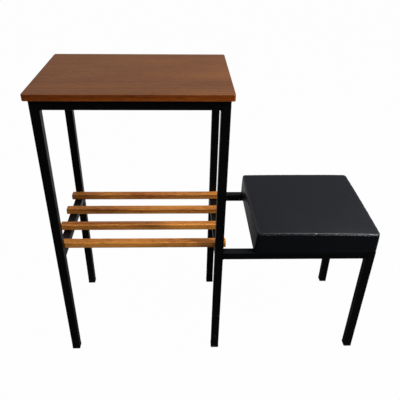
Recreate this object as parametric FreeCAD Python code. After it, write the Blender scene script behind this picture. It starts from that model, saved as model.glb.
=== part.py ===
import FreeCAD, Part
import os

# Telephone bench of the 1960s: a small teak table with a slatted shelf, and a low padded seat
# beside it, on one welded frame of square steel tube.
# Sizes are in millimetres. X runs from the table to the seat, Y from front to back, Z up.
# The origin is on the floor, under the middle of the bench's overall length and depth.

# Square steel tube of the whole frame
tube_size = 20.0
tube_wall = 1.5
tube_corner_radius = 2.0

# Frame, measured over the outer faces of the legs
table_frame_width = 400.0
frame_depth = 290.0
table_height = 720.0
seat_reach = 370.0
low_rail_top = 328.0
weld_leg = 2.2

# Table top: a chipboard core between two veneers, with solid lippings mitred at the corners
top_thickness = 14.0
top_overhang_left = 10.5
top_overhang_right = 7.5
top_overhang_sides = 5.0
top_corner_radius = 5.0
top_arris_radius = 1.4
veneer_thickness = 0.6
lipping_width = 6.0

# Shelf slats
slat_count = 4
slat_width = 20.0
slat_thickness = 15.5
slat_overhang = 7.5
slat_edge_radius = 2.5
slat_leg_gap = 2.5

# Plastic glides pressed into the ends of the legs
glide_height = 4.0
glide_lip = 0.5
glide_corner_radius = 2.5
glide_edge_radius = 1.2
glide_plug_depth = 18.0
glide_plug_size = 13.0
glide_fin_count = 3
glide_fin_thickness = 1.2
glide_fin_radius = 1.0
glide_fit = 0.1

# Seat cushion: foam on a plywood board, in a vinyl cover stapled under the board
seat_gap = 73.0
cushion_wall_height = 54.0
cushion_crown = 6.5
cushion_belly = 1.5
cushion_tuck = 2.0
cushion_seam_inset = 0.8
cushion_left_slope = 3.0
cushion_corner_radius = 7.0
cushion_loft_degree = 3
cover_thickness = 1.0
hem_width = 32.0
board_thickness = 12.0
board_inset = 1.5

# Staples along the hem
staple_crown = 12.0
staple_leg = 6.0
staple_wire = 0.7
staples_per_side = 5
staple_line_inset = 6.0

# Slotted pan-head wood screws, driven up through the rails
screw_shank_diameter = 4.0
screw_head_diameter = 8.0
screw_head_height = 2.4
screw_head_rim = 0.9
screw_tip_length = 3.0
screw_slot_width = 1.0
screw_slot_depth = 1.1
screw_hole_clearance = 0.2
top_screw_bite = 9.0
slat_screw_bite = 10.0
seat_screw_bite = 9.0
top_screw_end_distance = 90.0
seat_screw_end_distance = 60.0

# Places that follow from the sizes
left_reach = max(top_overhang_left, slat_overhang, glide_lip)
right_reach = max(cushion_belly, glide_lip)
total_length = left_reach + table_frame_width + seat_reach + right_reach
x_left = left_reach - total_length / 2
x_table_right = x_left + table_frame_width
x_seat_right = x_table_right + seat_reach
x_cushion_left = x_table_right + seat_gap
y_front = -frame_depth / 2
y_back = frame_depth / 2
frame_top = table_height - top_thickness
low_rail_bottom = low_rail_top - tube_size

X = FreeCAD.Vector(1, 0, 0)
Y = FreeCAD.Vector(0, 1, 0)
Z = FreeCAD.Vector(0, 0, 1)

os.makedirs("parts", exist_ok=True)


def save(name, solids):
    """Write one node; a list with several solids becomes a group of separate solids."""
    shape = solids[0] if len(solids) == 1 else Part.makeCompound(solids)
    if not shape.isValid():
        raise ValueError(name + " is not a valid shape")
    shape.exportStep("parts/" + name + ".step")
    box = shape.BoundBox
    print("%-26s %2d solid(s)  %8.1f mm3  z %6.1f to %6.1f" % (
        name, len(shape.Solids), shape.Volume, box.ZMin, box.ZMax))


def block(x0, x1, y0, y1, z0, z1):
    return Part.makeBox(x1 - x0, y1 - y0, z1 - z0, FreeCAD.Vector(x0, y0, z0))


def rounded_outline(x0, x1, y0, y1, radius, z):
    """A rectangle with round corners, as one wire at height z."""
    cut = radius * (1 - 0.5 ** 0.5)
    edges = []
    corners = [(x0, y0, 1, 1), (x1, y0, -1, 1), (x1, y1, -1, -1), (x0, y1, 1, -1)]
    arcs = []
    for number, (x, y, sx, sy) in enumerate(corners):
        along_x = FreeCAD.Vector(x + sx * radius, y, z)
        along_y = FreeCAD.Vector(x, y + sy * radius, z)
        middle = FreeCAD.Vector(x + sx * cut, y + sy * cut, z)
        first, last = (along_y, along_x) if number % 2 == 0 else (along_x, along_y)
        arcs.append((first, middle, last))
    for number, (first, middle, last) in enumerate(arcs):
        following = arcs[(number + 1) % 4][0]
        edges.append(Part.Arc(first, middle, last).toShape())
        edges.append(Part.LineSegment(last, following).toShape())
    return Part.Wire(edges)


def rounded_prism(x0, x1, y0, y1, radius, z0, z1):
    face = Part.Face(rounded_outline(x0, x1, y0, y1, radius, z0))
    return face.extrude(Z * (z1 - z0))


def steel_tube(x, y, z, axis, length):
    """Square tube from its lowest corner (x, y, z), running along the axis."""
    half = tube_size / 2
    bore = half - tube_wall
    bore_radius = max(tube_corner_radius - tube_wall, 0.2)
    tube = rounded_prism(-half, half, -half, half, tube_corner_radius, 0, length)
    tube = tube.cut(rounded_prism(-bore, bore, -bore, bore, bore_radius, 0, length))
    middle = FreeCAD.Vector(x + half, y + half, z + half) - axis * half
    tube.Placement = FreeCAD.Placement(middle, FreeCAD.Rotation(Z, axis))
    return tube


def rail_hole(x, y, z_bottom):
    """The drill that makes both holes for one screw in a rail."""
    radius = screw_shank_diameter / 2 + screw_hole_clearance
    return Part.makeCylinder(radius, tube_size, FreeCAD.Vector(x, y, z_bottom))


def screw_blank(x, y, z, length):
    """A pan-head screw without its slot: the head hangs under height z, the tip points up."""
    shank = screw_shank_diameter / 2
    head = screw_head_diameter / 2
    crown = FreeCAD.Vector(0, 0, -screw_head_height)
    rim = FreeCAD.Vector(head, 0, -screw_head_rim)
    shoulder = FreeCAD.Vector(head * 0.62, 0, -screw_head_height * 0.88)
    profile = Part.Wire([
        Part.Arc(crown, shoulder, rim).toShape(),
        Part.makePolygon([
            rim, FreeCAD.Vector(head, 0, 0), FreeCAD.Vector(shank, 0, 0),
            FreeCAD.Vector(shank, 0, length - screw_tip_length), FreeCAD.Vector(0, 0, length), crown,
        ]),
    ])
    blank = Part.Face(profile).revolve(FreeCAD.Vector(0, 0, 0), Z, 360)
    return blank.translated(FreeCAD.Vector(x, y, z))


def slotted_screw(x, y, z, length):
    half = screw_slot_width / 2
    reach = screw_head_diameter
    bottom = z - screw_head_height
    slot = block(x - reach, x + reach, y - half, y + half, bottom - 1, bottom + screw_slot_depth)
    return screw_blank(x, y, z, length).cut(slot)


def drilled(shape, tools):
    return shape.cut(Part.makeCompound(tools))


def weld_bead(corner, along, length, side_a, side_b):
    """A slightly full fillet weld in the corner between two tube faces."""
    a = corner + side_a * weld_leg
    b = corner + side_b * weld_leg
    middle = corner + (side_a + side_b) * (weld_leg * 0.6)
    outline = Part.Wire([
        Part.LineSegment(corner, a).toShape(),
        Part.Arc(a, middle, b).toShape(),
        Part.LineSegment(b, corner).toShape(),
    ])
    return Part.Face(outline).extrude(along * length)


# Screw places. The top is held by six screws, each slat by two, the seat by four.
inside = tube_size / 2
top_screw_spots = []
for y in (y_front + inside, y_back - inside):
    for x in (x_left + top_screw_end_distance, x_table_right - top_screw_end_distance):
        top_screw_spots.append((x, y))
for x in (x_left + inside, x_table_right - inside):
    top_screw_spots.append((x, 0.0))

first_slat = y_front + tube_size + slat_leg_gap
last_slat = y_back - tube_size - slat_leg_gap - slat_width
slat_pitch = (last_slat - first_slat) / (slat_count - 1)
slat_fronts = [first_slat + slat_pitch * number for number in range(slat_count)]
slat_screw_spots = []
for front in slat_fronts:
    for x in (x_left + inside, x_table_right - inside):
        slat_screw_spots.append((x, front + slat_width / 2))

seat_screw_spots = []
for y in (y_front + inside, y_back - inside):
    for x in (x_cushion_left + seat_screw_end_distance, x_seat_right - seat_screw_end_distance):
        seat_screw_spots.append((x, y))

top_screw_length = tube_size + top_screw_bite
slat_screw_length = tube_size + slat_screw_bite
seat_screw_length = tube_size + cover_thickness + seat_screw_bite
top_rail_bottom = frame_top - tube_size


# Legs: four long ones under the table and two short ones under the seat's far end
leg_places = {
    "table_leg_front_left": (x_left, y_front, frame_top),
    "table_leg_front_right": (x_table_right - tube_size, y_front, frame_top),
    "table_leg_back_left": (x_left, y_back - tube_size, frame_top),
    "table_leg_back_right": (x_table_right - tube_size, y_back - tube_size, frame_top),
    "seat_leg_front": (x_seat_right - tube_size, y_front, low_rail_top),
    "seat_leg_back": (x_seat_right - tube_size, y_back - tube_size, low_rail_top),
}
for name, (x, y, leg_top) in leg_places.items():
    save(name, [steel_tube(x, y, glide_height, Z, leg_top - glide_height)])


# Rails, each cut to fit between two legs: start corner, direction, length and screw places
across = table_frame_width - 2 * tube_size
deep = frame_depth - 2 * tube_size
seat_run = seat_reach - tube_size
x_inner = x_left + tube_size
y_inner = y_front + tube_size
rails = {
    "top_rail_front": (x_inner, y_front, top_rail_bottom, X, across, top_screw_spots),
    "top_rail_back": (x_inner, y_back - tube_size, top_rail_bottom, X, across, top_screw_spots),
    "top_rail_left": (x_left, y_inner, top_rail_bottom, Y, deep, top_screw_spots),
    "top_rail_right": (x_table_right - tube_size, y_inner, top_rail_bottom, Y, deep, top_screw_spots),
    "shelf_rail_left": (x_left, y_inner, low_rail_bottom, Y, deep, slat_screw_spots),
    "shelf_rail_right": (x_table_right - tube_size, y_inner, low_rail_bottom, Y, deep, slat_screw_spots),
    "seat_rail_front": (x_table_right, y_front, low_rail_bottom, X, seat_run, seat_screw_spots),
    "seat_rail_back": (x_table_right, y_back - tube_size, low_rail_bottom, X, seat_run, seat_screw_spots),
    "seat_rail_end": (x_seat_right - tube_size, y_inner, low_rail_bottom, Y, deep, []),
}
for name, (x, y, z, axis, length, spots) in rails.items():
    rail = steel_tube(x, y, z, axis, length)
    box = rail.BoundBox
    holes = [
        rail_hole(sx, sy, z) for sx, sy in spots
        if box.XMin < sx < box.XMax and box.YMin < sy < box.YMax
    ]
    save(name, [drilled(rail, holes) if holes else rail])


# Weld beads in the corners under each rail end, and above the seat rails at the table legs
def rail_end_beads(x, y, z_face, axis, length, vertical):
    """The two beads of a rail on its lower or upper face, one at each end."""
    width = tube_size - 2 * tube_corner_radius
    if axis == X:
        start = FreeCAD.Vector(x, y + tube_corner_radius, z_face)
        along = Y
    else:
        start = FreeCAD.Vector(x + tube_corner_radius, y, z_face)
        along = X
    near = weld_bead(start, along, width, axis, vertical)
    far = weld_bead(start + axis * length, along, width, axis * -1, vertical)
    return near, far


top_welds = []
shelf_welds = []
seat_welds = []
for name, (x, y, z, axis, length, spots) in rails.items():
    group = top_welds if name.startswith("top") else shelf_welds if name.startswith("shelf") else seat_welds
    group.extend(rail_end_beads(x, y, z, axis, length, Z * -1))
    if name in ("seat_rail_front", "seat_rail_back"):
        group.append(rail_end_beads(x, y, low_rail_top, axis, length, Z)[0])
save("top_frame_welds", top_welds)
save("shelf_frame_welds", shelf_welds)
save("seat_frame_welds", seat_welds)


# Glides: a square foot with a finned plug that grips the bore of the leg
def glide(x, y):
    half = tube_size / 2 + glide_lip
    bore = tube_size / 2 - tube_wall - glide_fit
    core = glide_plug_size / 2
    foot = rounded_prism(-half, half, -half, half, glide_corner_radius, 0, glide_height)
    rim = [edge for edge in foot.Edges if edge.BoundBox.ZMax < glide_height / 2]
    foot = foot.makeFillet(glide_edge_radius, rim)
    plug = block(-core, core, -core, core, glide_height, glide_height + glide_plug_depth)
    fin_step = glide_plug_depth / glide_fin_count
    for number in range(glide_fin_count):
        low = glide_height + fin_step * (number + 0.5)
        fin = rounded_prism(-bore, bore, -bore, bore, glide_fin_radius, low, low + glide_fin_thickness)
        plug = plug.fuse(fin)
    return foot.fuse(plug).removeSplitter().translated(
        FreeCAD.Vector(x + tube_size / 2, y + tube_size / 2, 0))


for name, (x, y, leg_top) in leg_places.items():
    save(name.replace("leg", "glide"), [glide(x, y)])


# Table top, cut from one rounded envelope so that every joint line meets at the edges
top_x0 = x_left - top_overhang_left
top_x1 = x_table_right + top_overhang_right
top_y0 = y_front - top_overhang_sides
top_y1 = y_back + top_overhang_sides
envelope = rounded_prism(top_x0, top_x1, top_y0, top_y1, top_corner_radius, frame_top, table_height)
arrises = [edge for edge in envelope.Edges if edge.BoundBox.ZLength < top_thickness / 2]
envelope = envelope.makeFillet(top_arris_radius, arrises)
top_screws = [screw_blank(x, y, top_rail_bottom, top_screw_length) for x, y in top_screw_spots]

core_bottom = frame_top + veneer_thickness
core_top = table_height - veneer_thickness
backing = envelope.common(block(top_x0, top_x1, top_y0, top_y1, frame_top, core_bottom))
save("top_backing_veneer", [drilled(backing, top_screws)])
core = block(
    top_x0 + lipping_width, top_x1 - lipping_width,
    top_y0 + lipping_width, top_y1 - lipping_width, core_bottom, core_top)
save("top_core_board", [drilled(core, top_screws)])
save("top_face_veneer", [envelope.common(block(top_x0, top_x1, top_y0, top_y1, core_top, table_height))])

outer = [(top_x0, top_y0), (top_x1, top_y0), (top_x1, top_y1), (top_x0, top_y1)]
inner = [
    (top_x0 + lipping_width, top_y0 + lipping_width), (top_x1 - lipping_width, top_y0 + lipping_width),
    (top_x1 - lipping_width, top_y1 - lipping_width), (top_x0 + lipping_width, top_y1 - lipping_width),
]
for number, side in enumerate(("front", "right", "back", "left")):
    following = (number + 1) % 4
    ring = [outer[number], outer[following], inner[following], inner[number], outer[number]]
    mitred = Part.Face(Part.makePolygon([FreeCAD.Vector(x, y, core_bottom) for x, y in ring]))
    save("top_lipping_" + side, [envelope.common(mitred.extrude(Z * (core_top - core_bottom)))])


# Shelf slats, round on every edge
slat_screws = [screw_blank(x, y, low_rail_bottom, slat_screw_length) for x, y in slat_screw_spots]
for number, front in enumerate(slat_fronts):
    slat = block(
        x_left - slat_overhang, x_table_right + slat_overhang, front, front + slat_width,
        low_rail_top, low_rail_top + slat_thickness)
    slat = slat.makeFillet(slat_edge_radius, slat.Edges)
    save("shelf_slat_%d" % (number + 1), [drilled(slat, slat_screws)])


# Seat cushion: walls that swell a little and draw in at the board and at the top seam,
# under a crowned top. A lining depth of zero gives the outside of the cover.
def cushion_outline(height, inset, left_inset, lining):
    """One level of the cushion, at a height over the rails."""
    return rounded_outline(
        x_cushion_left + inset + left_inset + lining, x_seat_right - inset - lining,
        y_front + inset + lining, y_back - inset - lining,
        cushion_corner_radius - lining, low_rail_top + height)


def wall_inset(share):
    """How far a side lies inside the frame at a share of the wall's height."""
    tuck = (cushion_tuck + cushion_belly) * max(0.0, 1 - share / 0.3) ** 3
    seam = (cushion_seam_inset + cushion_belly) * max(0.0, (share - 0.4) / 0.6) ** 2
    return tuck + seam - cushion_belly


def cushion_walls(lining):
    sections = [
        cushion_outline(
            max(cushion_wall_height * share, lining), wall_inset(share), cushion_left_slope * share, lining)
        for share in (0.0, 0.06, 0.16, 0.35, 0.6, 0.8, 1.0)
    ]
    return Part.makeLoft(sections, True, False, False, cushion_loft_degree)


def cushion_top(lining):
    rise = cushion_crown - lining
    levels = [(0.0, 0.0), (0.52, 16.0), (0.84, 44.0), (1.0, 92.0)]
    sections = [
        cushion_outline(
            cushion_wall_height + rise * share, cushion_seam_inset + draw, cushion_left_slope, lining)
        for share, draw in levels
    ]
    return Part.makeLoft(sections, True, False, False, cushion_loft_degree)


seat_screws = [screw_blank(x, y, low_rail_bottom, seat_screw_length) for x, y in seat_screw_spots]


def staple(x, y, axis):
    """One staple, its crown under the hem and its two legs up in the board."""
    side = X if axis == Y else Y
    start = FreeCAD.Vector(x, y, low_rail_top) - axis * (staple_crown / 2) - side * (staple_wire / 2)
    size = axis * staple_crown + side * staple_wire
    crown = Part.makeBox(size.x, size.y, staple_wire, start - Z * staple_wire)
    legs = []
    for place in (start, start + axis * (staple_crown - staple_wire)):
        legs.append(Part.makeBox(staple_wire, staple_wire, staple_leg, place))
    return crown.fuse(legs).removeSplitter()


staple_x0 = x_cushion_left + tube_size + staple_line_inset
staple_x1 = x_seat_right - tube_size - staple_line_inset
staple_y0 = y_front + tube_size + staple_line_inset
staple_y1 = y_back - tube_size - staple_line_inset
staples = []
for number in range(staples_per_side):
    share = (number + 0.5) / staples_per_side
    x = staple_x0 + (staple_x1 - staple_x0) * share
    y = staple_y0 + (staple_y1 - staple_y0) * share
    staples += [staple(x, staple_y0, X), staple(x, staple_y1, X)]
    staples += [staple(staple_x0, y, Y), staple(staple_x1, y, Y)]

hem_hole = block(
    x_cushion_left + hem_width, x_seat_right - hem_width, y_front + hem_width, y_back - hem_width,
    low_rail_top, low_rail_top + cover_thickness)
band = cushion_walls(0.0).cut(cushion_walls(cover_thickness)).cut(hem_hole)
save("seat_cover_band", [drilled(band, seat_screws + staples)])
save("seat_cover_top", [cushion_top(0.0).cut(cushion_top(cover_thickness))])

board_edge = cushion_tuck + cover_thickness + board_inset
board_bottom = low_rail_top + cover_thickness
board = rounded_prism(
    x_cushion_left + board_edge, x_seat_right - board_edge, y_front + board_edge, y_back - board_edge,
    cushion_corner_radius - cover_thickness, board_bottom, board_bottom + board_thickness)
foam = cushion_walls(cover_thickness).fuse(cushion_top(cover_thickness)).cut(board)
save("seat_foam", [foam.removeSplitter()])
save("seat_board", [drilled(board, seat_screws + staples)])
save("cover_staples", staples)


# Screws, one group for each job
save("top_screws", [slotted_screw(x, y, top_rail_bottom, top_screw_length) for x, y in top_screw_spots])
save("slat_screws", [slotted_screw(x, y, low_rail_bottom, slat_screw_length) for x, y in slat_screw_spots])
save("seat_screws", [slotted_screw(x, y, low_rail_bottom, seat_screw_length) for x, y in seat_screw_spots])
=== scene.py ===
import bpy, bmesh, math
from mathutils import Matrix, Vector, noise
from mathutils.kdtree import KDTree


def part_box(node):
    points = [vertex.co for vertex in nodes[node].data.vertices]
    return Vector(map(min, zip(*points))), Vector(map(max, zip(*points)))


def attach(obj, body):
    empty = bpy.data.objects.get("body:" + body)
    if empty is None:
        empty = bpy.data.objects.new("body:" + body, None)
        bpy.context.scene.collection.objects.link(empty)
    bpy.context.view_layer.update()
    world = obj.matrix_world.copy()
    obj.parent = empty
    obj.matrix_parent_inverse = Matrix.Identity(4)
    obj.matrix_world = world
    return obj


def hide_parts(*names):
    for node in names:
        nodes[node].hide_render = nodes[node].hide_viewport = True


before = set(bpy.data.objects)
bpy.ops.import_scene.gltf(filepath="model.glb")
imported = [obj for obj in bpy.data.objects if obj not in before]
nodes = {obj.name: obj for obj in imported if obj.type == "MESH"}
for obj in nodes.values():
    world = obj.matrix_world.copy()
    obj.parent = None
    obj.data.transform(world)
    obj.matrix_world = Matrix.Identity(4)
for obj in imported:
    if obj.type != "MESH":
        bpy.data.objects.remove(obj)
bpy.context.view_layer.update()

# Camera
# Where the photograph was taken from: standing in front of the table, a little to its right,
# and looking down on it. Angles in radians, the rest in metres.
camera_place = Vector((-0.0800, -1.0406, 1.0270))
camera_turn = 0.0269
camera_tilt = 0.5666
camera_roll = -0.0110
focal_in_pixels = 472.7
picture_width = 400.0
optical_centre = (-7.6, 7.9)
sensor_width = 36.0

camera_data = bpy.data.cameras.new("Camera")
camera_data.sensor_width = sensor_width
camera_data.lens = sensor_width * focal_in_pixels / picture_width
camera_data.shift_x = -optical_centre[0] / picture_width
camera_data.shift_y = optical_centre[1] / picture_width
camera = bpy.data.objects.new("Camera", camera_data)
camera.matrix_world = (
    Matrix.Translation(camera_place)
    @ Matrix.Rotation(-camera_turn, 4, "Z")
    @ Matrix.Rotation(math.pi / 2 - camera_tilt, 4, "X")
    @ Matrix.Rotation(-camera_roll, 4, "Z")
)
bpy.context.scene.collection.objects.link(camera)
bpy.context.scene.camera = camera
bpy.context.scene.view_settings.view_transform = "Standard"


# Tools for materials and pieces
def hex_to_linear(value):
    """An sRGB colour such as "8A5A3C" as linear red, green and blue."""
    channels = [int(value[i:i + 2], 16) / 255 for i in (0, 2, 4)]
    return [c / 12.92 if c <= 0.04045 else ((c + 0.055) / 1.055) ** 2.4 for c in channels]


def new_material(name):
    """An empty node material, its tree and its output node."""
    material = bpy.data.materials.new(name)
    material.use_nodes = True
    tree = material.node_tree
    tree.nodes.clear()
    return material, tree, tree.nodes.new("ShaderNodeOutputMaterial")


def add(tree, kind, settings=None, inputs=None):
    """A shader node with its settings; an input is a value, or a socket to link from."""
    node = tree.nodes.new("ShaderNode" + kind)
    for key, value in (settings or {}).items():
        setattr(node, key, value)
    for key, value in (inputs or {}).items():
        socket = node.inputs[key]
        if isinstance(value, bpy.types.NodeSocket):
            tree.links.new(value, socket)
        elif socket.type == "RGBA" and isinstance(value, str):
            socket.default_value = [*hex_to_linear(value), 1.0]
        else:
            socket.default_value = value
    return node


def object_place(tree):
    """Coordinates in metres, fixed to the object."""
    return add(tree, "TexCoord").outputs["Object"]


def axes_of(tree, vector):
    """The X, Y and Z parts of a vector or colour."""
    return add(tree, "SeparateXYZ", None, {0: vector}).outputs


def stretched(tree, place, scale, turn=0.0):
    """Coordinates scaled along each axis and turned about the vertical."""
    settled = add(tree, "Mapping", None, {"Vector": place, "Rotation": (0, 0, turn), "Scale": scale})
    return settled.outputs[0]


def speckles(tree, place, scale=1.0, detail=2.0, roughness=0.5, distortion=0.0):
    """A noise texture: its values lie from 0 to 1, most of them near the middle."""
    texture = add(tree, "TexNoise", None, {
        "Vector": place, "Scale": scale, "Detail": detail, "Roughness": roughness,
        "Distortion": distortion})
    return texture.outputs[0]


def calculate(tree, operation, *operands):
    """One operation on numbers or sockets."""
    return add(tree, "Math", {"operation": operation}, dict(enumerate(operands))).outputs[0]


def remap(tree, value, low, high, to_low=0.0, to_high=1.0, easing="LINEAR"):
    """A value from one range moved to another, and held within it."""
    moved = add(tree, "MapRange", {"interpolation_type": easing}, {
        "Value": value, "From Min": low, "From Max": high, "To Min": to_low, "To Max": to_high})
    return moved.outputs[0]


def vary(tree, speckle, low, high):
    """A noise texture, most of which lies from 0.3 to 0.7, spread from low to high."""
    return remap(tree, speckle, 0.3, 0.7, low, high)


def mix_values(tree, share, first, second):
    """Two numbers mixed; a share of 1 is all of the second."""
    return add(tree, "Mix", {"data_type": "FLOAT"}, {0: share, 2: first, 3: second}).outputs[0]


def mix_colours(tree, share, first, second):
    """Two colours mixed; a share of 1 is all of the second."""
    return add(tree, "Mix", {"data_type": "RGBA"}, {0: share, 6: first, 7: second}).outputs[2]


def relief(tree, height, strength, distance, below=None):
    """A fine relief, which can lie on another one."""
    inputs = {"Strength": strength, "Distance": distance, "Height": height}
    if below:
        inputs["Normal"] = below
    return add(tree, "Bump", None, inputs).outputs[0]


def surface(tree, output, colour, roughness, specular=0.5, normal=None, metallic=0.0):
    """The surface shader, linked to the material's output."""
    inputs = {
        "Base Color": colour, "Roughness": roughness, "Specular IOR Level": specular,
        "Metallic": metallic}
    if normal:
        inputs["Normal"] = normal
    shader = add(tree, "BsdfPrincipled", None, inputs)
    tree.links.new(shader.outputs[0], output.inputs["Surface"])


def dress(names, material):
    """Give CAD nodes their finish."""
    for name in names:
        nodes[name].data.materials.clear()
        nodes[name].data.materials.append(material)


def new_piece(name, bm):
    """An object at the origin made of a bmesh, which is used up."""
    mesh = bpy.data.meshes.new(name)
    bm.to_mesh(mesh)
    bm.free()
    piece = bpy.data.objects.new(name, mesh)
    bpy.context.scene.collection.objects.link(piece)
    return piece


# Studio
# A pale floor, a broad soft light overhead and a small one in front, both to the right of the
# bench. The camera sees floor and sky as white, and the floor keeps a faint shadow. Seen in shiny
# surfaces the floor's glow carries painted shade and light: a painted shadow near the camera and
# under the seat, and a painted brighter glow behind the bench.
floor_half_side = 12.0
floor_white_share = 0.985
floor_mirror_share = 0.8
floor_mirror_painted_shadow = 0.04
floor_mirror_painted_light = 0.60
floor_mirror_front = -0.15
floor_mirror_back = 0.45
under_seat = (0.24, 0.0, 0.0)
under_seat_painted_shadow_reach = 0.32
under_seat_painted_shadow_fade_reach = 0.80
sky_at_horizon = 0.12
sky_overhead = 0.62
sky_fade_low = 0.1
sky_fade_high = 0.75
light_aim = Vector((0.0, 0.0, 0.5))
light_place = Vector((1.40, 0.10, 2.00))
light_width = 2.0
light_depth = 1.8
light_power = 31.0
light_colour = (1.0, 1.0, 1.0)
small_light_place = Vector((1.25, -0.80, 1.9))
small_light_width = 0.26
small_light_power = 34.0
small_light_colour = (0.82, 0.91, 1.0)

bm = bmesh.new()
bmesh.ops.create_grid(bm, x_segments=1, y_segments=1, size=floor_half_side)
floor = new_piece("studio_floor", bm)

floor_paint, tree, output = new_material("studio_floor_paint")
path = add(tree, "LightPath")
seen = calculate(tree, "MULTIPLY", path.outputs["Is Camera Ray"], floor_white_share)
shiny = calculate(tree, "MAXIMUM", path.outputs["Is Glossy Ray"], path.outputs["Is Transmission Ray"])
mirrored = calculate(tree, "MULTIPLY", shiny, floor_mirror_share)
share = calculate(tree, "MAXIMUM", seen, mirrored)
matt = add(tree, "BsdfDiffuse", None, {"Color": "808080"})
spot = add(tree, "NewGeometry").outputs["Position"]
# Painted shadow and light in the floor's glow for shiny surfaces: dim near the camera and under the
# seat, brighter behind the bench.
behind = remap(
    tree, axes_of(tree, spot)["Y"], floor_mirror_front, floor_mirror_back, easing="SMOOTHSTEP")
reach = add(tree, "VectorMath", {"operation": "DISTANCE"}, {0: spot, 1: under_seat})
outside_painted_shadow = remap(tree, reach.outputs["Value"], under_seat_painted_shadow_reach, under_seat_painted_shadow_fade_reach)
lit = calculate(tree, "MULTIPLY", behind, outside_painted_shadow)
mirror = remap(tree, lit, 0.0, 1.0, floor_mirror_painted_shadow, floor_mirror_painted_light)
glow = calculate(tree, "MAXIMUM", path.outputs["Is Camera Ray"], mirror)
white = add(tree, "Emission", None, {"Color": "FFFFFF", "Strength": glow})
mixed = add(tree, "MixShader", None, {0: share, 1: matt.outputs[0], 2: white.outputs[0]})
tree.links.new(mixed.outputs[0], output.inputs["Surface"])
floor.data.materials.append(floor_paint)

world = bpy.data.worlds.new("Studio")
bpy.context.scene.world = world
world.use_nodes = True
tree = world.node_tree
tree.nodes.clear()
output = tree.nodes.new("ShaderNodeOutputWorld")
upwards = axes_of(tree, add(tree, "TexCoord").outputs["Generated"])["Z"]
brightness = remap(
    tree, upwards, sky_fade_low, sky_fade_high, sky_at_horizon, sky_overhead, easing="SMOOTHSTEP")
path = add(tree, "LightPath")
soft = add(tree, "Background", None, {"Color": "F1F4FF", "Strength": brightness})
white = add(tree, "Background", None, {"Color": "FFFFFF", "Strength": 1.0})
mixed = add(tree, "MixShader", None, {
    0: path.outputs["Is Camera Ray"], 1: soft.outputs[0], 2: white.outputs[0]})
tree.links.new(mixed.outputs[0], output.inputs["Surface"])

for name, place, width, depth, power, tint in (
        ("broad_light", light_place, light_width, light_depth, light_power, light_colour),
        ("small_light", small_light_place, small_light_width, small_light_width, small_light_power,
         small_light_colour)):
    light_data = bpy.data.lights.new(name, "AREA")
    light_data.shape = "RECTANGLE"
    light_data.size = width
    light_data.size_y = depth
    light_data.energy = power
    light_data.color = tint
    light = bpy.data.objects.new(name, light_data)
    aim = (light_aim - place).to_track_quat("-Z", "Y")
    light.matrix_world = Matrix.Translation(place) @ aim.to_matrix().to_4x4()
    bpy.context.scene.collection.objects.link(light)

# Steel frame
# Square mild steel tube, cut to length, welded and painted black: four table legs, two seat legs,
# and the rails that tie them under the top, under the slats and under the seat.
frame_nodes = [n for n in nodes if n.split("_")[0] in ("table", "top", "shelf", "seat")
               and ("leg" in n or "rail" in n or "welds" in n)]
bead_nodes = [n for n in frame_nodes if "welds" in n]
scuffed_height = 0.09
scuff_limit_at_floor = 0.62
scuff_limit_above = 0.74
scuff_softness = 0.05
peel_depth = 0.00008
ripple_spacing = 0.0022
weld_ripple_height = 0.0005


def enamel(name, ripple_height=0.0):
    """The frame's paint; over a weld bead it also shows the bead's ripples.

    Black baked enamel, sprayed: satin and nearly black, with a faint orange peel that breaks up
    its highlights. It is rubbed dull in places, and its lowest centimetres are scuffed by shoes.
    """
    material, tree, output = new_material(name)
    place = object_place(tree)
    peel = speckles(tree, place, 330.0, detail=1.0, roughness=0.4)
    rubbed = speckles(tree, place, 28.0, detail=3.0, roughness=0.6)
    upright = stretched(tree, place, (120.0, 120.0, 35.0))
    marks = speckles(tree, upright, detail=3.0, roughness=0.7)
    height = axes_of(tree, place)["Z"]
    limit = remap(tree, height, 0.0, scuffed_height, scuff_limit_at_floor, scuff_limit_above)
    scuff = remap(tree, calculate(tree, "SUBTRACT", marks, limit), 0.0, scuff_softness)
    colour = mix_colours(tree, rubbed, "030303", "060606")
    worn = mix_colours(tree, scuff, colour, "35332F")
    gloss = vary(tree, rubbed, 0.32, 0.48)
    skin = relief(tree, peel, 0.35, peel_depth)
    if ripple_height:
        # Bands across the diagonal of the axes cross every bead, whichever way it runs.
        ripple = add(tree, "TexWave", {"bands_direction": "DIAGONAL"}, {
            "Vector": place, "Scale": math.pi / (10 * ripple_spacing), "Distortion": 1.5,
            "Detail": 1.0})
        skin = relief(tree, ripple.outputs["Fac"], 1.0, ripple_height, below=skin)
    surface(tree, output, worn, gloss, specular=0.15, normal=skin)
    return material


dress([n for n in frame_nodes if n not in bead_nodes], enamel("black_enamel"))
dress(bead_nodes, enamel("black_enamel_on_welds", weld_ripple_height))

# Glides
# Moulded polyethylene caps pushed into the ends of the legs, so that they don't scratch the floor.
# The plastic is matt and a little paler than the paint, with fine scratches from being dragged.
glide_scratch_turn = 0.6
glide_grit_depth = 0.00006

glide_plastic, tree, output = new_material("glide_plastic")
place = object_place(tree)
grit = speckles(tree, place, 900.0, roughness=0.6)
scratches = speckles(tree, stretched(tree, place, (90.0, 1400.0, 300.0), glide_scratch_turn))
colour = mix_colours(tree, scratches, "121213", "222223")
surface(tree, output, colour, 0.62, specular=0.4, normal=relief(tree, grit, 0.3, glide_grit_depth))
dress([n for n in nodes if "glide" in n], glide_plastic)

# Teak
# Rings show as stripes along the boards. Real pores are 0.2 mm wide; the flecks here are 1.5 mm by
# 20 mm and the streaks in them half as large, which is about what a render can show.
heart_wander = 0.012
tone_spread = 0.12
fleck_depth = 0.0001
streak_strength = 0.6


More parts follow.
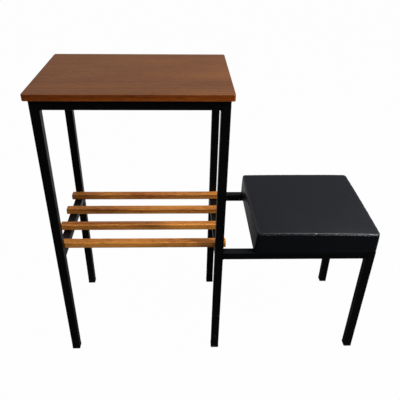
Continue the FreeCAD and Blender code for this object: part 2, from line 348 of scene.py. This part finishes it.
def teak(name, pale, deep, heart, ring_width, contrast=1.0, lengthwise=0.0, gloss=0.42, specular=0.4):
    """Oiled teak: rings about a heart line along the board, fine dark pores and broad clouds."""
    material, tree, output = new_material(name)
    turned = stretched(tree, object_place(tree), (1.0, 1.0, 1.0), lengthwise)
    # The heart wanders by a few millimetres in each quarter metre, so the rings are not ruled lines.
    wander = speckles(tree, stretched(tree, turned, (4.0, 16.0, 16.0)), detail=1.0)
    axes = axes_of(tree, turned)
    across = add(tree, "CombineXYZ", None, {1: axes["Y"], 2: axes["Z"]})
    reach = add(tree, "VectorMath", {"operation": "DISTANCE"}, {0: across.outputs[0], 1: (0, *heart)})
    bent = calculate(tree, "MULTIPLY_ADD", wander, heart_wander, reach.outputs["Value"])
    rings = add(tree, "TexNoise", {"noise_dimensions": "1D"}, {
        "W": calculate(tree, "MULTIPLY", bent, 1 / ring_width), "Scale": 1.0, "Detail": 2.0,
        "Roughness": 0.6})
    fleck = speckles(tree, stretched(tree, turned, (50.0, 650.0, 650.0)), detail=3.0, roughness=0.65)
    pore = speckles(tree, stretched(tree, turned, (110.0, 1500.0, 1500.0)), detail=1.0)
    cloud = speckles(tree, stretched(tree, turned, (3.0, 9.0, 9.0)))
    tone = mix_values(tree, 0.5, rings.outputs[0], fleck)
    tone = mix_values(tree, 0.3, tone, cloud)
    spread = tone_spread / contrast
    colour = mix_colours(tree, remap(tree, tone, 0.5 - spread, 0.5 + spread), pale, deep)
    streak = calculate(tree, "MULTIPLY", remap(tree, pore, 0.56, 0.7), streak_strength)
    colour = mix_colours(tree, streak, colour, deep)
    shine = vary(tree, fleck, gloss - 0.05, gloss + 0.08)
    surface(tree, output, colour, shine, specular, relief(tree, fleck, 0.25, fleck_depth))
    return material


# Table top
# Chipboard between a teak veneer and a plainer balancing veneer, lipped on all four sides with
# strips of solid teak, whose outer corners are rounded. It is screwed to the top rails from below.
lipping_look = dict(pale="9E4A08", deep="5A2401", heart=(0.02, 0.66), ring_width=0.005, specular=0.2)
dress(["top_face_veneer"], teak(
    "teak_veneer", "84501F", "532A0C", heart=(-0.9, 0.45), ring_width=0.0035, specular=0.35))
dress(["top_lipping_front", "top_lipping_back"], teak("teak_lipping", **lipping_look))
dress(["top_lipping_left", "top_lipping_right"], teak(
    "teak_lipping_turned", lengthwise=math.pi / 2, **lipping_look))

# Balancing veneer, rotary cut and left unfinished: paler, plain and dry, with long soft streaks.
backing_veneer, tree, output = new_material("backing_veneer")
place = object_place(tree)
streaks = speckles(
    tree, stretched(tree, place, (7.0, 120.0, 120.0)), detail=4.0, roughness=0.6, distortion=0.6)
colour = mix_colours(tree, streaks, "B98A5C", "8C6240")
surface(tree, output, colour, 0.8, specular=0.3, normal=relief(tree, streaks, 0.3, 0.0001))
dress(["top_backing_veneer"], backing_veneer)

# Chipboard, pressed from wood flakes a few millimetres across in pale resin.
chipboard, tree, output = new_material("chipboard")
place = object_place(tree)
flakes = add(tree, "TexVoronoi", None, {
    "Vector": stretched(tree, place, (250.0, 330.0, 900.0)), "Scale": 1.0})
tint = axes_of(tree, flakes.outputs["Color"])["X"]
colour = mix_colours(tree, tint, "CBA876", "8F6A42")
pressed = relief(tree, flakes.outputs["Distance"], 0.5, 0.0003)
surface(tree, output, colour, 0.85, specular=0.25, normal=pressed)
dress(["top_core_board"], chipboard)

# Shelf slats
# Four strips of solid teak with all edges rounded, sanded and oiled. They lie across the shelf
# rails and run a little past the legs, and two screws from below hold each one.
dress([n for n in nodes if n.startswith("shelf_slat")], teak(
    "teak_slat", "DB8D3A", "783606", heart=(0.11, 0.30), ring_width=0.005, contrast=1.3,
    gloss=0.45, specular=0.25))

# Screws and staples
# Slotted countersunk wood screws, zinc plated: a bluish bright metal, a little dull and streaky.
# The staples that hold the cover's hem are drawn from the same plated wire.
zinc, tree, output = new_material("zinc_steel")
mottle = speckles(tree, object_place(tree), 700.0)
colour = mix_colours(tree, mottle, "B4B3AE", "8E8C84")
surface(tree, output, colour, remap(tree, mottle, 0.0, 1.0, 0.28, 0.5), metallic=1.0)
dress(["top_screws", "slat_screws", "seat_screws", "cover_staples"], zinc)

# Seat board
# Birch plywood, 12 mm, five plies. Its underside shows between the hems of the cover, with a
# rotary-cut grain like watered silk, and its sawn edges show the plies as stripes.
ply_thickness = 0.0024

plywood, tree, output = new_material("birch_plywood")
place = object_place(tree)
figure = speckles(
    tree, stretched(tree, place, (9.0, 42.0, 1.0)), detail=5.0, roughness=0.65, distortion=1.2)
plies = calculate(tree, "MULTIPLY", axes_of(tree, place)["Z"], math.pi / ply_thickness)
glue = remap(tree, calculate(tree, "SINE", plies), -0.2, 0.4)
facing = axes_of(tree, add(tree, "NewGeometry").outputs["Normal"])["Z"]
sawn = calculate(tree, "SUBTRACT", 1.0, calculate(tree, "ABSOLUTE", facing))
stripe = calculate(tree, "MULTIPLY", glue, sawn)
face = mix_colours(tree, figure, "DCBD8E", "B08A5A")
surface(tree, output, mix_colours(tree, stripe, face, "7A5632"), 0.7, specular=0.35)
dress(["seat_board"], plywood)

# Seat cushion
# Foam in a box cover of black upholstery vinyl: a top panel sewn to a side band, which is pulled
# down round the board and stapled under it. The foam swells the cover out between board and seam.
band_low, band_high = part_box("seat_cover_band")
panel_low, panel_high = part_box("seat_cover_top")
board_low, board_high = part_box("seat_board")
wall_height = panel_low.z - band_low.z
belly = 0.0006
left_slope_front = 0.0056
left_slope_back = 0.0008
left_bow = 0.0030
seam_inset = 0.0008
seam_inset_start = 0.4
corner_radius = 0.0075
hem_width = 0.030
hem_raggedness = 0.0015
hem_rag_scale = 60
hem_overlap = 0.001
cell = 0.0042
crown_before_filling = 0.0010
seam_lift = 0.0018
seam_arch = 0.0008
seam_arch_power = 2.5
front_right_droop = 0.0036
largest_swelling = 0.0045
side_swelling = 0.0022
held_share = 0.16
filling_frames = 20
seam_rounding = 0.0029
seam_segments = 8
seam_reach = 1.05
seam_depth = 0.0013
groove_place = 0.74
groove_width = 0.15
roll_height = 0.0004
roll_width = 0.4
pucker_spacing = 0.010
pucker_height = 0.0006
pucker_length = 0.014
rubbed_reach = 0.005
almost_one = 0.999

centre = (band_low + band_high) / 2
wall_low = Vector((band_low.x + belly, band_low.y + belly))
wall_high = Vector((band_high.x - belly, band_high.y - belly))


def place_on_cover(u, v, w):
    """Where a point of a cube from -1 to 1 goes on the cover before it is filled."""
    share = (w + 1) / 2
    on_top = w > almost_one
    on_rim = max(abs(u), abs(v)) > almost_one
    draw = seam_inset * max(0.0, (share - seam_inset_start) / (1 - seam_inset_start)) ** 2
    slope = left_slope_back + (left_slope_front - left_slope_back) * (1 - v) / 2
    low = wall_low + Vector((draw * share + (slope - left_bow * (1 - v * v)) * share, draw))
    high = wall_high - Vector((draw, draw))
    half = (high - low) / 2
    x, y = u * half.x, v * half.y
    past_x = (abs(x) - (half.x - corner_radius)) / corner_radius
    past_y = (abs(y) - (half.y - corner_radius)) / corner_radius
    if past_x > 0 and past_y > 0:
        pull = max(past_x, past_y) / math.hypot(past_x, past_y)
        x = math.copysign(half.x - corner_radius + corner_radius * past_x * pull, x)
        y = math.copysign(half.y - corner_radius + corner_radius * past_y * pull, y)
    droop = front_right_droop * ((1 + u) * (1 - v) / 4) ** 2
    if on_top and not on_rim:
        arch = 0.5 - (u * v) ** 2
    else:
        along = min(abs(u), abs(v)) if on_rim else 0.0
        arch = 0.5 - along ** seam_arch_power
    lift = seam_lift + seam_arch * arch - droop
    rise = crown_before_filling * (1 - u * u) * (1 - v * v) if on_top else 0.0
    return Vector((
        (low.x + high.x) / 2 + x, (low.y + high.y) / 2 + y,
        band_low.z + wall_height * share + lift * share ** 2 + rise))


# The cover before it is filled, as a box of cells about 4 mm wide, open inside the hem.
bm = bmesh.new()
cube_side = 2.0
bmesh.ops.create_cube(bm, size=cube_side)
for axis, length in ((2, wall_height), (0, wall_high.x - wall_low.x), (1, wall_high.y - wall_low.y)):
    edges = [e for e in bm.edges if abs(e.verts[0].co[axis] - e.verts[1].co[axis]) > cube_side / 2]
    bmesh.ops.subdivide_edges(bm, edges=edges, cuts=round(length / cell) - 1, use_grid_fill=True)
inner_x = 1 - hem_width / ((wall_high.x - wall_low.x) / 2)
inner_y = 1 - hem_width / ((wall_high.y - wall_low.y) / 2)
inside_hem = []
for face in bm.faces:
    middle = face.calc_center_median()
    if face.normal.z < -0.5 and abs(middle.x) < inner_x and abs(middle.y) < inner_y:
        inside_hem.append(face)
bmesh.ops.delete(bm, geom=inside_hem, context="FACES")
held = bm.verts.layers.deform.verify()
on_seam = bm.verts.layers.int.new("on_seam")
for vert in bm.verts:
    u, v, w = vert.co
    seam = w > almost_one and max(abs(u), abs(v)) > almost_one
    vert[on_seam] = int(seam)
    vert[held][0] = 1.0 if seam or (w + 1) / 2 < held_share else 0.0
    vert.co = place_on_cover(u, v, w)
cover = new_piece("seat_cover", bm)
cover.vertex_groups.new(name="held")

# Filling: air pressure stands for the foam. Each point then moves by a limited part of that swelling.
scene = bpy.context.scene
flat_cover = [v.co.copy() for v in cover.data.vertices]
filling = cover.modifiers.new("filling", "CLOTH")
filling.settings.quality = 6
filling.settings.mass = 0.25
filling.settings.tension_stiffness = 12
filling.settings.compression_stiffness = 12
filling.settings.shear_stiffness = 4
filling.settings.bending_stiffness = 0.6
filling.settings.vertex_group_mass = "held"
filling.settings.pin_stiffness = 1.0
filling.settings.use_pressure = True
filling.settings.uniform_pressure_force = 4.0
filling.settings.effector_weights.gravity = 0.0
filling.point_cache.frame_start = 1
filling.point_cache.frame_end = filling_frames
for step in range(1, filling_frames + 1):
    scene.frame_set(step)
graph = bpy.context.evaluated_depsgraph_get()
filled_cover = [v.co.copy() for v in cover.evaluated_get(graph).data.vertices]
scene.frame_set(1)
cover.modifiers.remove(filling)
for vert, flat_place, filled_place in zip(cover.data.vertices, flat_cover, filled_cover):
    swelling = filled_place - flat_place
    most = largest_swelling if abs(vert.normal.z) > 0.5 else side_swelling
    if swelling.length > 0:
        vert.co = flat_place + swelling.normalized() * most * (1 - math.exp(-swelling.length / most))

# Seam: the two panels turn in to their stitching, so the edge is two small rolls with a groove
# between. The thread gathers the vinyl, which leaves short puckers on both sides.
bm = bmesh.new()
bm.from_mesh(cover.data)
on_seam = bm.verts.layers.int["on_seam"]
seam_edges = [e for e in bm.edges if e.verts[0][on_seam] and e.verts[1][on_seam]]
seam_line = [(v.co.copy(), v.normal.copy()) for v in bm.verts if v[on_seam]]
seam_tree = KDTree(len(seam_line))
for number, (point, outwards) in enumerate(seam_line):
    seam_tree.insert(point, number)
seam_tree.balance()
bmesh.ops.bevel(
    bm, geom=seam_edges, offset=seam_rounding, segments=seam_segments, profile=0.5,
    affect="EDGES", material=-1)
bm.normal_update()
rubbed = bm.verts.layers.float.new("rubbed")
for vert in bm.verts:
    point, number, distance = seam_tree.find(vert.co)
    outwards = seam_line[number][1]
    vert[rubbed] = max(0.0, 1 - distance / rubbed_reach)
    if distance > pucker_length:
        continue
    wrinkle = noise.noise(point / (pucker_spacing * 0.5))
    # From -1 at the rounding's edge on the top panel to 1 at its edge on the side band.
    below = (point.z - vert.co.z) / seam_rounding
    inset = (point.xy - vert.co.xy).length / seam_rounding
    if max(below, inset) < seam_reach:
        roll = roll_height * math.exp(-((below - inset) / roll_width) ** 2)
        groove = seam_depth * math.exp(-((below - inset - groove_place) / groove_width) ** 2)
        vert.co += outwards * (roll * (1 + 2 * wrinkle) - groove * (1 + wrinkle))
    else:
        fade = (1 - distance / pucker_length) ** 2
        vert.co += vert.normal * pucker_height * fade * wrinkle
# The hem's cut edge, a little uneven, turned up against the board.
edge = [e for e in bm.edges if e.is_boundary]
for vert in {v for e in edge for v in e.verts}:
    inwards = (Vector((centre.x, centre.y, vert.co.z)) - vert.co).normalized()
    vert.co += inwards * hem_raggedness * noise.noise(vert.co * hem_rag_scale)
turned_up = bmesh.ops.extrude_edge_only(bm, edges=edge)["geom"]
bmesh.ops.translate(
    bm, verts=[v for v in turned_up if isinstance(v, bmesh.types.BMVert)],
    vec=(0, 0, board_low.z - band_low.z + hem_overlap))
bmesh.ops.recalc_face_normals(bm, faces=bm.faces)
for face in bm.faces:
    face.smooth = True
bm.to_mesh(cover.data)
bm.free()
fullness = cover.modifiers.new("fullness", "SUBSURF")
fullness.levels = fullness.render_levels = 1

# Upholstery vinyl: soft PVC on a cloth backing, embossed with a fine leather grain and almost black.
# Its plasticiser gives a low even shine, with faint dull patches where it has been sat on. The
# vinyl is stretched over the seam and polished by wear, so it shines most there.
grain_width = 0.0011
grain_warp = 0.0006
grain_depth = 0.00012
seam_roughness = 0.14
seam_specular = 0.75
panel_specular = 0.25

vinyl, tree, output = new_material("black_vinyl")
place = object_place(tree)
warp = add(tree, "TexNoise", None, {"Vector": place, "Scale": 500.0, "Detail": 1.0})
warped = add(tree, "VectorMath", {"operation": "MULTIPLY_ADD"}, {
    0: warp.outputs["Color"], 1: (grain_warp, grain_warp, grain_warp), 2: place})
pebbles = add(tree, "TexVoronoi", {"feature": "DISTANCE_TO_EDGE"}, {
    "Vector": warped.outputs[0], "Scale": 1 / grain_width})
pebble = remap(tree, pebbles.outputs["Distance"], 0.0, 0.25)
sat_on = speckles(tree, place, 11.0, detail=3.0, roughness=0.55)
colour = mix_colours(tree, sat_on, "050608", "090A0D")
polish = add(tree, "Attribute", {"attribute_name": "rubbed"}).outputs["Fac"]
gloss = mix_values(tree, polish, vary(tree, sat_on, 0.34, 0.46), seam_roughness)
shine = mix_values(tree, polish, panel_specular, seam_specular)
surface(tree, output, colour, gloss, shine, relief(tree, pebble, 0.3, grain_depth))
cover.data.materials.append(vinyl)
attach(cover, "root")
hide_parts("seat_cover_band", "seat_cover_top", "seat_foam")
